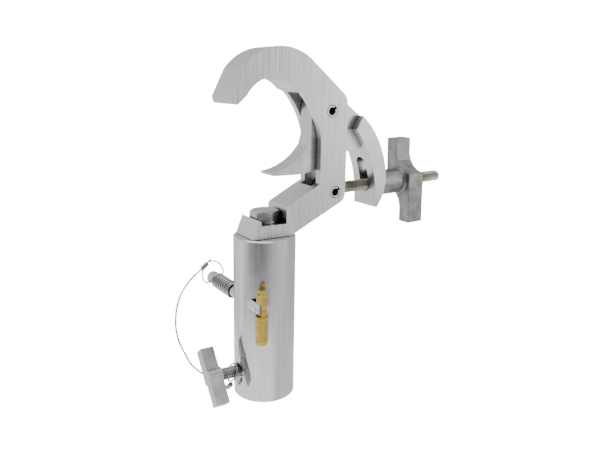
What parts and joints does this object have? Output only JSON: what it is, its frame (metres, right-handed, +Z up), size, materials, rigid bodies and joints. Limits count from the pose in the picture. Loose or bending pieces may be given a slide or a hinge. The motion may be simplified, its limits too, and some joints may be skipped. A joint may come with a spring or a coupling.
{
  "type": "pipe clamp",
  "caption": "Trigger-action hook clamp for a stage lighting tube, with a swing bolt, wing nut and a spigot socket with a drop-nose locking pin.",
  "frame": {"origin": "centre of the spigot socket's open lower end", "axes": "+Z up along the socket, +Y along the tube, +X towards the wing nut"},
  "size_m": [0.2456, 0.0964, 0.2794],
  "materials": {
    "hook_aluminium": "milled satin",
    "socket_steel": "polished, turned",
    "bolt_steel": "zinc plated",
    "nut_cast": "zinc plated casting, dull",
    "pin_steel": "turned",
    "toggle_brass": "satin",
    "wire_steel": "stranded",
    "pad_plastic": "matte"
  },
  "bodies": {
    "hook": {"hook_body": "hook_aluminium", "jaw_pivot_pin": "bolt_steel", "swing_bolt_pin": "bolt_steel", "fixing_bolt": "bolt_steel", "spring_washer": "bolt_steel", "socket_nut": "bolt_steel"},
    "jaw": {"trigger_jaw": "hook_aluminium"},
    "bolt": {"swing_bolt": "bolt_steel"},
    "washer": {"thrust_washer": "bolt_steel"},
    "nut": {"wing_nut": "nut_cast"},
    "socket": {"socket_barrel": "socket_steel", "pin_spring": "pin_steel", "lanyard_wire": "wire_steel", "lower_loop": "wire_steel", "lower_ferrule": "wire_steel"},
    "pin": {"locking_pin": "pin_steel", "toggle_cross_pin": "pin_steel", "pin_head": "pin_steel", "upper_loop": "wire_steel", "upper_ferrule": "wire_steel"},
    "drop_nose": {"toggle": "toggle_brass"},
    "pad": {"pressure_pad": "pad_plastic"},
    "screw": {"clamp_screw": "bolt_steel", "clamp_handle": "pin_steel"}
  },
  "joints": [
    {"name": "jaw_swing", "type": "hinge", "parent": "hook", "child": "jaw", "pos_m": [0.0523, 0, 0.2317], "axis": [0, 1, 0], "range_deg": [0, 22.05]},
    {"name": "bolt_tilt", "type": "hinge", "parent": "hook", "child": "bolt", "pos_m": [0.0575, 0, 0.1665], "axis": [0, 1, 0], "range_deg": [0, 3.05]},
    {"name": "nut_travel", "type": "slide", "parent": "bolt", "child": "washer", "axis": [-0.9995, 0, -0.0314], "range_m": [0, 0.0221]},
    {"name": "wing_nut_spin", "type": "hinge", "parent": "washer", "child": "nut", "pos_m": [0.0575, 0, 0.1665], "axis": [-0.9995, 0, -0.0314], "range_deg": [0, 5280]},
    {"name": "socket_swivel", "type": "hinge", "parent": "hook", "child": "socket", "pos_m": [0, 0, 0.1345], "axis": [0, 0, 1], "continuous": true},
    {"name": "pin_push", "type": "slide", "parent": "socket", "child": "pin", "axis": [0, -1, 0], "range_m": [0, 0.012], "stiffness_N_per_m": 300, "deforming": ["pin_spring", "lanyard_wire"]},
    {"name": "toggle_flip", "type": "hinge", "parent": "pin", "child": "drop_nose", "pos_m": [-0.0176, -0.028, 0.0837], "axis": [-1, 0, 0], "range_deg": [0, 90.1]},
    {"name": "pad_press", "type": "slide", "parent": "socket", "child": "pad", "axis": [1, 0, 0], "range_m": [0, 0.0051]},
    {"name": "screw_turn", "type": "hinge", "parent": "pad", "child": "screw", "pos_m": [0, 0, 0.0222], "axis": [1, 0, 0], "range_deg": [0, 1200]}
  ],
  "couplings": [
    {"joint": "jaw_swing", "follows": "wing_nut_spin", "ratio": 0.0041667},
    {"joint": "bolt_tilt", "follows": "wing_nut_spin", "ratio": 0.00056818},
    {"joint": "nut_travel", "follows": "wing_nut_spin", "m_per_rad": 0.00023873},
    {"joint": "toggle_flip", "follows": "pin_push", "rad_per_m": 130.9},
    {"joint": "pad_press", "follows": "screw_turn", "m_per_rad": 0.00023873}
  ]
}
